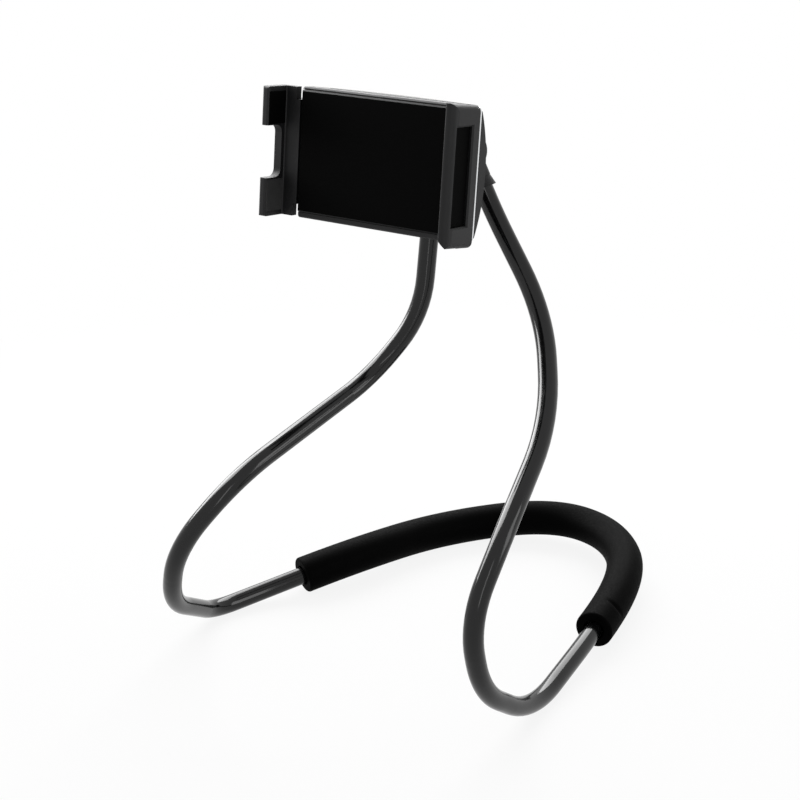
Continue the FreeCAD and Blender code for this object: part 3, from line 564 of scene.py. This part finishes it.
# name, place, size, watts, and whether it is a bright card that only shows in reflections
LAMPS = [
    ("left_card", (-0.93, 0.0, 0.75), (0.95, 1.15), 38.0, True),
    ("front_card", (0.78, -1.02, 0.28), (0.14, 0.9), 1.4, True),
    ("right_card", (1.15, 0.15, 0.35), (0.6, 0.7), 4.5, True),
    ("back_panel", (-0.55, 0.85, 0.85), (1.3, 0.9), 24.0, False),
]

CAMERA_PLACE = (0.3034, -0.4735, 0.2896)
CAMERA_AZIMUTH = math.radians(34.0)
CAMERA_ELEVATION = math.radians(20.0)
# in millimetres, as a camera gives them
CAMERA_LENS = 76.5
CAMERA_SENSOR = 36.0


def seen_directly(tree):
    """One for what the camera, reflections and clear things see, and zero for light."""
    ray = add(tree, "ShaderNodeLightPath").outputs
    seen = add(tree, "ShaderNodeMath", {"operation": "MAXIMUM"},
               {0: ray["Is Camera Ray"], 1: ray["Is Glossy Ray"]}).outputs["Value"]
    return add(tree, "ShaderNodeMath", {"operation": "MAXIMUM"},
               {0: seen, 1: ray["Is Transmission Ray"]}).outputs["Value"]


def make_floor():
    """A floor of pale paper: nearly white to the camera, and it keeps the holder's shadow."""
    material, tree, place = new_material("studio_floor")
    paper = add(tree, "ShaderNodeBsdfDiffuse", None, {"Color": linear("#e6e6e6")}).outputs["BSDF"]
    glow = add(tree, "ShaderNodeEmission", None,
               {"Color": linear("#ffffff"), "Strength": 1.0}).outputs["Emission"]
    away = add(tree, "ShaderNodeVectorMath", {"operation": "LENGTH"}, {0: place}).outputs["Value"]
    share = add(tree, "ShaderNodeMapRange", None,
                {"Value": away, "From Min": SHADOW_NEAR, "From Max": SHADOW_FAR,
                 "To Min": GLOW_NEAR, "To Max": GLOW_FAR}).outputs["Result"]
    part = add(tree, "ShaderNodeMath", {"operation": "MULTIPLY"},
               {0: seen_directly(tree), 1: share}).outputs["Value"]
    mixed = add(tree, "ShaderNodeMixShader", None, {"Fac": part, 1: paper, 2: glow})
    give_surface(material, mixed.outputs["Shader"])
    mesh = bpy.data.meshes.new("studio_floor")
    corners = [(-FLOOR_REACH, -FLOOR_REACH, 0), (FLOOR_REACH, -FLOOR_REACH, 0),
               (FLOOR_REACH, FLOOR_REACH, 0), (-FLOOR_REACH, FLOOR_REACH, 0)]
    mesh.from_pydata(corners, [], [(0, 1, 2, 3)])
    mesh.materials.append(material)
    floor = bpy.data.objects.new("studio_floor", mesh)
    floor.location.z = -FLOOR_DROP
    scene.collection.objects.link(floor)


def make_world():
    """A white surround for what the camera and reflections see, and a soft even light."""
    world = bpy.data.worlds.new("studio")
    world.use_nodes = True
    tree = world.node_tree
    tree.nodes.clear()
    strength = add(tree, "ShaderNodeMapRange", None,
                   {"Value": seen_directly(tree), "To Min": WORLD_LIGHT,
                    "To Max": WORLD_SEEN}).outputs["Result"]
    surround = add(tree, "ShaderNodeBackground", None,
                   {"Color": linear("#ffffff"), "Strength": strength}).outputs["Background"]
    add(tree, "ShaderNodeOutputWorld", None, {"Surface": surround})
    scene.world = world


def make_camera():
    """The photograph's view."""
    data = bpy.data.cameras.new("photo_view")
    data.lens = CAMERA_LENS
    data.sensor_width = CAMERA_SENSOR
    data.sensor_fit = "HORIZONTAL"
    camera = bpy.data.objects.new("photo_view", data)
    camera.location = CAMERA_PLACE
    level = math.cos(CAMERA_ELEVATION)
    ahead = Vector((-math.sin(CAMERA_AZIMUTH) * level, math.cos(CAMERA_AZIMUTH) * level,
                    -math.sin(CAMERA_ELEVATION)))
    camera.rotation_euler = ahead.to_track_quat("-Z", "Y").to_euler()
    scene.collection.objects.link(camera)
    scene.camera = camera


def make_lamp(name, place, size, watts, only_reflected):
    """A soft box that points at the holder, or a bright card that only shows in reflections."""
    data = bpy.data.lights.new(name, "AREA")
    data.shape = "RECTANGLE"
    data.size, data.size_y = size
    data.energy = watts
    lamp = bpy.data.objects.new(name, data)
    lamp.location = place
    aim = Vector(LAMP_TARGET) - Vector(place)
    lamp.rotation_euler = aim.to_track_quat("-Z", "Y").to_euler()
    lamp.visible_diffuse = not only_reflected
    scene.collection.objects.link(lamp)


make_floor()
make_world()
make_camera()
for lamp_row in LAMPS:
    make_lamp(*lamp_row)

scene.view_settings.view_transform = "Standard"
